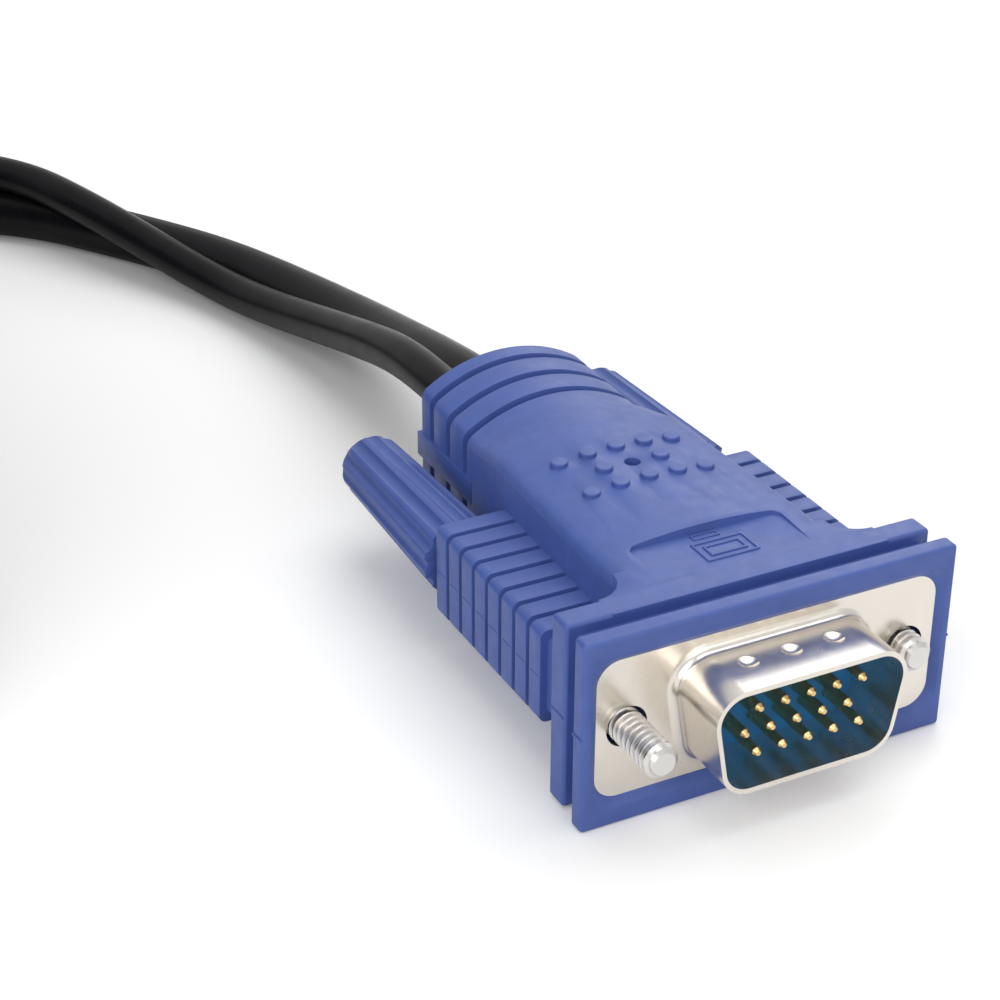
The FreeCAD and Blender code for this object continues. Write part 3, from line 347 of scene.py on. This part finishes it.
def woven_strap():
    """Hook and loop strap: a close warp and weft under a short nap."""
    finish = Finish("strap_weave", STRAP_BLACK, 0.85)
    finish.mottle(finish.noise(900, 3), shade(STRAP_BLACK, 0.7), shade(STRAP_BLACK, 1.6))
    for direction in ("X", "Y", "Z"):
        wave = finish.add("ShaderNodeTexWave", bands_direction=direction)
        wave.inputs["Scale"].default_value = 260
        finish.join(finish.place, wave.inputs["Vector"])
        finish.bump(wave.outputs["Fac"], 0.25, 0.12)
    finish.bump(finish.noise(4200, 2), 0.4, 0.08)
    return finish.set(Sheen_Weight=0.4, Sheen_Roughness=0.5).material


def smooth_plastic(name, colour, roughness):
    finish = Finish(name, colour, roughness)
    finish.mottle(finish.noise(400, 3), shade(colour, 0.9), shade(colour, 1.1))
    finish.gloss(finish.noise(1200, 2), roughness * 0.9, roughness * 1.15)
    finish.bump(finish.noise(7000, 2), 0.15, 0.02)
    return finish.material


def mesh_piece(name, mesh, material):
    piece = bpy.data.objects.new(name, mesh)
    mesh.materials.clear()
    mesh.materials.append(material)
    bpy.context.scene.collection.objects.link(piece)
    return piece


def bake_modifiers(piece):
    """Turn what the modifiers make into the piece's own plain mesh."""
    graph = bpy.context.evaluated_depsgraph_get()
    made = bpy.data.meshes.new_from_object(piece.evaluated_get(graph))
    piece.modifiers.clear()
    piece.data = made


def smooth_by_angle(mesh):
    """Smooth shading, broken at edges sharper than SMOOTH_ANGLE."""
    work = bmesh.new()
    work.from_mesh(mesh)
    for face in work.faces:
        face.smooth = True
    for edge in work.edges:
        edge.smooth = len(edge.link_faces) == 2 and edge.calc_face_angle(0) < SMOOTH_ANGLE
    work.to_mesh(mesh)
    work.free()


def softened(node, edge, material, body):
    """A copy of a solid with its sharp edges rounded, standing for that solid."""
    mesh = frame["nodes"][node].data.copy()
    work = bmesh.new()
    work.from_mesh(mesh)
    bmesh.ops.remove_doubles(work, verts=work.verts, dist=SKIN_WELD * MM)
    bmesh.ops.dissolve_limit(work, angle_limit=FLAT_ANGLE, verts=work.verts, edges=work.edges)
    work.to_mesh(mesh)
    work.free()
    piece = mesh_piece(node + "_skin", mesh, material)
    bevel = piece.modifiers.new("soft_edge", "BEVEL")
    bevel.width = edge * MM
    bevel.segments = EDGE_SEGMENTS
    bevel.limit_method = "ANGLE"
    bevel.angle_limit = SMOOTH_ANGLE
    bevel.use_clamp_overlap = True
    bevel.miter_outer = "MITER_ARC"
    bake_modifiers(piece)
    smooth_by_angle(piece.data)
    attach(piece, body)
    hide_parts(node)
    return piece


class Nodes:
    """A geometry node tree with named inputs, built call by call."""

    def __init__(self, name, inputs):
        self.tree = bpy.data.node_groups.new(name, "GeometryNodeTree")
        face = self.tree.interface
        face.new_socket("Geometry", in_out="OUTPUT", socket_type="NodeSocketGeometry")
        self.ids = {}
        for title, kind in inputs:
            self.ids[title] = face.new_socket(title, in_out="INPUT", socket_type=kind).identifier
        self.start = self.tree.nodes.new("NodeGroupInput").outputs
        self.end = self.tree.nodes.new("NodeGroupOutput").inputs

    def put(self, kind, plugs=None, **settings):
        """A node with its settings, and with plugs wired or filled in by socket name or number."""
        node = self.tree.nodes.new(kind)
        for name, value in settings.items():
            setattr(node, name, value)
        for name, value in (plugs or {}).items():
            if isinstance(value, bpy.types.NodeSocket):
                self.tree.links.new(value, node.inputs[name])
            else:
                node.inputs[name].default_value = value
        return node.outputs

    def math(self, operation, one, two=0.0):
        return self.put("ShaderNodeMath", {0: one, 1: two}, operation=operation)[0]

    def finish(self, geometry, material):
        whole = self.put("GeometryNodeRealizeInstances", {"Geometry": geometry})["Geometry"]
        dressed = self.put("GeometryNodeSetMaterial", {"Geometry": whole, "Material": material})["Geometry"]
        self.tree.links.new(dressed, self.end["Geometry"])

    def grow(self, name, **values):
        """A plain mesh object made by this tree with the given input values."""
        piece = bpy.data.objects.new(name, bpy.data.meshes.new(name))
        bpy.context.scene.collection.objects.link(piece)
        modifier = piece.modifiers.new("grown", "NODES")
        modifier.node_group = self.tree
        for title, value in values.items():
            modifier[self.ids[title.replace("_", " ")]] = value
        bake_modifiers(piece)
        return piece


def screw_tree():
    """A screw along -Y: rows of a grid wound into a thread, a tapered tip and a plain neck behind."""
    size, count = "NodeSocketFloat", "NodeSocketInt"
    make = Nodes("thumbscrew_thread", [
        ("Radius", size), ("Depth", size), ("Pitch", size), ("Length", size), ("Tip Radius", size),
        ("Neck Radius", size), ("Neck Length", size), ("Segments", count), ("Rows", count),
        ("Place", "NodeSocketVector"), ("Material", "NodeSocketMaterial"),
    ])
    given = make.start
    grid = make.put("GeometryNodeMeshGrid", {
        "Size X": 1.0, "Size Y": 1.0, "Vertices X": given["Segments"], "Vertices Y": given["Rows"],
    })
    spot = make.put("ShaderNodeSeparateXYZ", {0: make.put("GeometryNodeInputPosition")[0]})
    round_share = make.math("ADD", spot["X"], 0.5)
    angle = make.math("MULTIPLY", round_share, math.tau)
    last_row = make.math("SUBTRACT", given["Rows"], 1.0)
    row = make.math("ROUND", make.math("MULTIPLY", make.math("ADD", spot["Y"], 0.5), last_row))
    # The rows of a turn are root, crest, crest, root
    phase = make.math("MODULO", row, TURN_ROWS)
    crest = make.math("MULTIPLY", make.math("GREATER_THAN", phase, 0.5), make.math("LESS_THAN", phase, 2.5))
    root = make.math("SUBTRACT", given["Radius"], given["Depth"])
    wound = make.math("ADD", root, make.math("MULTIPLY", crest, given["Depth"]))
    turns = make.math("ADD", make.math("SUBTRACT", make.math("DIVIDE", row, TURN_ROWS), 1.0), round_share)
    along = make.math("MULTIPLY", turns, given["Pitch"])
    along = make.math("MINIMUM", make.math("MAXIMUM", along, 0.0), given["Length"])
    from_tip = make.math("SUBTRACT", given["Length"], along)
    radius = make.math("MINIMUM", wound, make.math("ADD", given["Tip Radius"], from_tip))
    where = make.put("ShaderNodeCombineXYZ", {
        "X": make.math("MULTIPLY", radius, make.math("COSINE", angle)),
        "Y": make.math("MULTIPLY", along, -1.0),
        "Z": make.math("MULTIPLY", radius, make.math("SINE", angle)),
    })[0]
    thread = make.put("GeometryNodeSetPosition", {"Geometry": grid["Mesh"], "Position": where})["Geometry"]
    upright = (math.pi / 2, 0.0, 0.0)
    cap = make.put("GeometryNodeMeshCircle", {"Vertices": ROUND_SEGMENTS, "Radius": given["Tip Radius"]},
                   fill_type="TRIANGLE_FAN")["Mesh"]
    end = make.put("ShaderNodeCombineXYZ", {"Y": make.math("MULTIPLY", given["Length"], -1.0)})[0]
    cap = make.put("GeometryNodeTransform", {
        "Geometry": cap, "Translation": end, "Rotation": upright,
    })["Geometry"]
    neck = make.put("GeometryNodeMeshCylinder", {
        "Vertices": ROUND_SEGMENTS, "Radius": given["Neck Radius"], "Depth": given["Neck Length"],
    })["Mesh"]
    middle = make.math("SUBTRACT", make.math("DIVIDE", given["Neck Length"], 2.0), given["Pitch"])
    behind = make.put("ShaderNodeCombineXYZ", {"Y": middle})[0]
    neck = make.put("GeometryNodeTransform", {
        "Geometry": neck, "Translation": behind, "Rotation": upright,
    })["Geometry"]
    join = make.tree.nodes.new("GeometryNodeJoinGeometry")
    for shape in (thread, cap, neck):
        make.tree.links.new(shape, join.inputs["Geometry"])
    welded = make.put("GeometryNodeMergeByDistance", {
        "Geometry": join.outputs[0], "Distance": THREAD_WELD * MM,
    })
    placed = make.put("GeometryNodeTransform", {
        "Geometry": welded["Geometry"], "Translation": given["Place"],
    })
    make.finish(placed["Geometry"], given["Material"])
    return make


def thread_screw(tree, plug, side, pull, steel):
    """The threaded screw that stands for one plain screw of the frame."""
    prefix, base = plug
    length = STUD_REACH + STUD_ROOT
    turns = length / THREAD_PITCH
    across = STUD_X if side == "right" else -STUD_X
    place = metres(base + Vector((across, STUD_ROOT + pull, AXIS_HIGH)))
    node = f"{prefix}{side}_screw"
    piece = tree.grow(
        node + "_thread", Radius=STUD_RADIUS * MM, Depth=THREAD_DEEP * MM, Pitch=THREAD_PITCH * MM,
        Length=length * MM, Tip_Radius=STUD_END * MM, Neck_Radius=NECK_RADIUS * MM,
        Neck_Length=(NECK_BACK - STUD_ROOT + THREAD_PITCH) * MM, Segments=THREAD_SEGMENTS,
        Rows=int((turns + 2) * TURN_ROWS), Place=place, Material=steel,
    )
    work = bmesh.new()
    work.from_mesh(piece.data)
    bmesh.ops.dissolve_degenerate(work, dist=THREAD_SLIVER * MM, edges=work.edges)
    bmesh.ops.recalc_face_normals(work, faces=work.faces)
    work.to_mesh(piece.data)
    work.free()
    smooth_by_angle(piece.data)
    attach(piece, f"{prefix}{side}_thumbscrew")
    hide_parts(node)
    return piece


def seam_tree():
    """Rows of thin beads along the plug, the same on both sides."""
    size = "NodeSocketFloat"
    make = Nodes("mould_seam", [
        ("Radius", size), ("Length", size), ("Pitch", size), ("Count", "NodeSocketInt"),
        ("Start", "NodeSocketVector"), ("Place", "NodeSocketVector"), ("Material", "NodeSocketMaterial"),
    ])
    given = make.start
    bead = make.put("GeometryNodeMeshCylinder", {
        "Vertices": 12, "Radius": given["Radius"], "Depth": given["Length"],
    })["Mesh"]
    step = make.put("ShaderNodeCombineXYZ", {"Y": given["Pitch"]})[0]
    across = make.put("ShaderNodeVectorMath", {0: given["Start"], 1: (-1, 1, 1)}, operation="MULTIPLY")[0]
    both = make.tree.nodes.new("GeometryNodeJoinGeometry")
    for start in (given["Start"], across):
        row = make.put("GeometryNodeMeshLine", {
            "Count": given["Count"], "Start Location": start, "Offset": step,
        }, mode="OFFSET")["Mesh"]
        beads = make.put("GeometryNodeInstanceOnPoints", {
            "Points": row, "Instance": bead, "Rotation": (math.pi / 2, 0.0, 0.0),
        })["Instances"]
        make.tree.links.new(beads, both.inputs["Geometry"])
    placed = make.put("GeometryNodeTransform", {"Geometry": both.outputs[0], "Translation": given["Place"]})
    make.finish(placed["Geometry"], given["Material"])
    return make


def mould_seam(tree, plug, kind, blue):
    """The seam that the two halves of the mould leave on the frame, the collar or the ribs."""
    prefix, base = plug
    half, first, length, pitch, count, radius = SEAM_BEADS[kind]
    piece = tree.grow(
        f"{prefix}{kind}_seam", Radius=radius * MM, Length=length * MM, Pitch=pitch * MM, Count=count,
        Start=metres((half, first, AXIS_HIGH)), Place=metres(base), Material=blue,
    )
    smooth_by_angle(piece.data)
    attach(piece, "plug")
    return piece


def ring_strip(work, middle, outer, inner, low, high):
    """A raised rectangular outline between two rectangles, each given as half sizes."""
    x, y, corners = middle[0], middle[1], ((-1, -1), (1, -1), (1, 1), (-1, 1))
    rows = [
        [work.verts.new(metres((x + half[0] * i, y + half[1] * j, z))) for i, j in corners]
        for half, z in ((outer, low), (outer, high), (inner, high), (inner, low))
    ]
    for one, two in zip(rows, rows[1:]):
        for i in range(4):
            j = (i + 1) % 4
            work.faces.new((one[i], one[j], two[j], two[i]))


def screen_sign(plug, blue):
    """The raised sign of a screen on its foot."""
    prefix, base = plug
    work = bmesh.new()
    x, y = SIGN_MIDDLE[0] + base.x, SIGN_MIDDLE[1] + base.y
    top = PANEL_TOP + base.z
    back = y + SCREEN_HIGH / 2 + FOOT_GAP + FOOT_HIGH / 2
    for middle, wide, tall in (((x, y), SCREEN_WIDE, SCREEN_HIGH), ((x, y), PICTURE_WIDE, PICTURE_HIGH),
                               ((x - FOOT_SHIFT, back), FOOT_WIDE, FOOT_HIGH)):
        inner = (wide / 2 - SCREEN_LINE / 2, tall / 2 - SCREEN_LINE / 2)
        ring_strip(work, middle, (wide / 2, tall / 2), inner, top - SIGN_SUNK, top + SIGN_HIGH)
    bmesh.ops.recalc_face_normals(work, faces=work.faces)
    mesh = bpy.data.meshes.new(prefix + "screen_sign")
    work.to_mesh(mesh)
    work.free()
    piece = mesh_piece(prefix + "screen_sign", mesh, blue)
    bevel = piece.modifiers.new("soft_edge", "BEVEL")
    bevel.width = SIGN_EDGE * MM
    bevel.segments = EDGE_SEGMENTS
    bake_modifiers(piece)
    smooth_by_angle(piece.data)
    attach(piece, "plug")
    return piece


def paint(node, material):
    """Give a solid of the frame its finish."""
    mesh = frame["nodes"][node].data
    for polygon in mesh.polygons:
        polygon.material_index = 0
    mesh.materials.clear()
    mesh.materials.append(material)


def pale_floor():
    """A wide pale floor that looks near white and keeps the shadow."""
    work = bmesh.new()
    bmesh.ops.create_grid(work, x_segments=1, y_segments=1, size=FLOOR_HALF)
    mesh = bpy.data.meshes.new("floor")
    work.to_mesh(mesh)
    work.free()
    finish = Finish("pale_floor", PAPER_WHITE, 0.9)
    finish.set(Specular_IOR_Level=0.0, Emission_Color=(1, 1, 1, 1))
    glow = finish.add("ShaderNodeMath", operation="MULTIPLY")
    glow.inputs[1].default_value = FLOOR_GLOW
    finish.join(finish.add("ShaderNodeLightPath").outputs["Is Camera Ray"], glow.inputs[0])
    finish.join(glow.outputs[0], finish.shader.inputs["Emission Strength"])
    mesh_piece("floor", mesh, finish.material)


def lamp(name, place, size, power):
    light = bpy.data.lights.new(name, "AREA")
    light.size = size
    light.energy = power
    spot = bpy.data.objects.new(name, light)
    spot.location = place
    spot.rotation_euler = (Vector(LAMP_TARGET) - Vector(place)).to_track_quat("-Z", "Y").to_euler()
    bpy.context.scene.collection.objects.link(spot)


def studio_light():
    """Large soft lamps over a white surround."""
    world = bpy.data.worlds.new("studio")
    world.use_nodes = True
    nodes, links = world.node_tree.nodes, world.node_tree.links
    surround = nodes["Background"]
    surround.inputs["Color"].default_value = (1, 1, 1, 1)
    path = nodes.new("ShaderNodeLightPath")
    level = None
    mirrored = MIRROR_LEVEL - SURROUND_LEVEL
    for ray, gain in (("Is Camera Ray", 1 - SURROUND_LEVEL), ("Is Glossy Ray", mirrored),
                      ("Is Transmission Ray", mirrored)):
        more = nodes.new("ShaderNodeMath")
        more.operation = "MULTIPLY_ADD"
        more.inputs[1].default_value = gain
        more.inputs[2].default_value = SURROUND_LEVEL
        links.new(path.outputs[ray], more.inputs[0])
        if level:
            links.new(level, more.inputs[2])
        level = more.outputs[0]
    links.new(level, surround.inputs["Strength"])
    bpy.context.scene.world = world
    for name, (place, size, power) in LAMPS.items():
        lamp(name, place, size, power)


aim_camera()
jacket = satin_jacket()
video_path = VIDEO_ROUTE + hank_points(VIDEO_BEND, VIDEO_STOPS) + VIDEO_TAIL_ROUTE
data_path = DATA_ROUTE + hank_points(DATA_BEND, DATA_STOPS) + DATA_TAIL_ROUTE
video = lay_cord("video_lobe", video_path, VIDEO_DIAMETER, jacket)
data = lay_cord("data_lobe", data_path, DATA_DIAMETER, jacket)

hood_blue = moulded_vinyl("hood_vinyl", HOOD_BLUE)
knob_blue = moulded_vinyl("knob_vinyl", shade(HOOD_BLUE, 0.96))
nickel = nickel_plate("nickel_plate", NICKEL, 0.24)
steel = nickel_plate("screw_plate", STEEL, 0.28)
gold = gold_flash()
insulator_blue = glossy_insulator()
strap = woven_strap()
grip_black = smooth_plastic("usb_grip_black", GRIP_BLACK, 0.45)
tongue_white = smooth_plastic("usb_tongue_white", TONGUE_WHITE, 0.35)

PLUGS = (("", NEAR), ("far_", FAR))
screws, seams = screw_tree(), seam_tree()
far_pieces = []
for plug in PLUGS:
    prefix = plug[0]
    dressed = [softened(prefix + "hood", HOOD_EDGE, hood_blue, "plug"), screen_sign(plug, hood_blue)]
    dressed += [mould_seam(seams, plug, kind, hood_blue) for kind in SEAM_BEADS]
    for side, pull in (("left", 0.0), ("right", RIGHT_PULL)):
        dressed.append(thread_screw(screws, plug, side, pull, steel))
        dressed.append(softened(f"{prefix}{side}_knob", KNOB_EDGE, knob_blue, f"{prefix}{side}_thumbscrew"))
    for node, material in (("front_shell", nickel), ("rear_shell", nickel), ("insulator", insulator_blue),
                           ("contact_pins", gold)):
        paint(prefix + node, material)
    if prefix:
        far_pieces += dressed + [frame["nodes"][prefix + name]
                                 for name in ("front_shell", "rear_shell", "insulator", "contact_pins")]
for node, material in (("cable_tie", strap), ("usb_overmould", grip_black), ("usb_shell", nickel),
                       ("usb_tongue", tongue_white), ("usb_contacts", gold)):
    paint(node, material)

for cord, nodes in ((video, ("video_cord", "cord_hank", "video_tail")), (data, ("data_cord", "data_tail"))):
    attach(cord, "plug")
    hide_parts(*nodes)

pale_floor()
studio_light()
bpy.context.scene.view_settings.view_transform = "Standard"
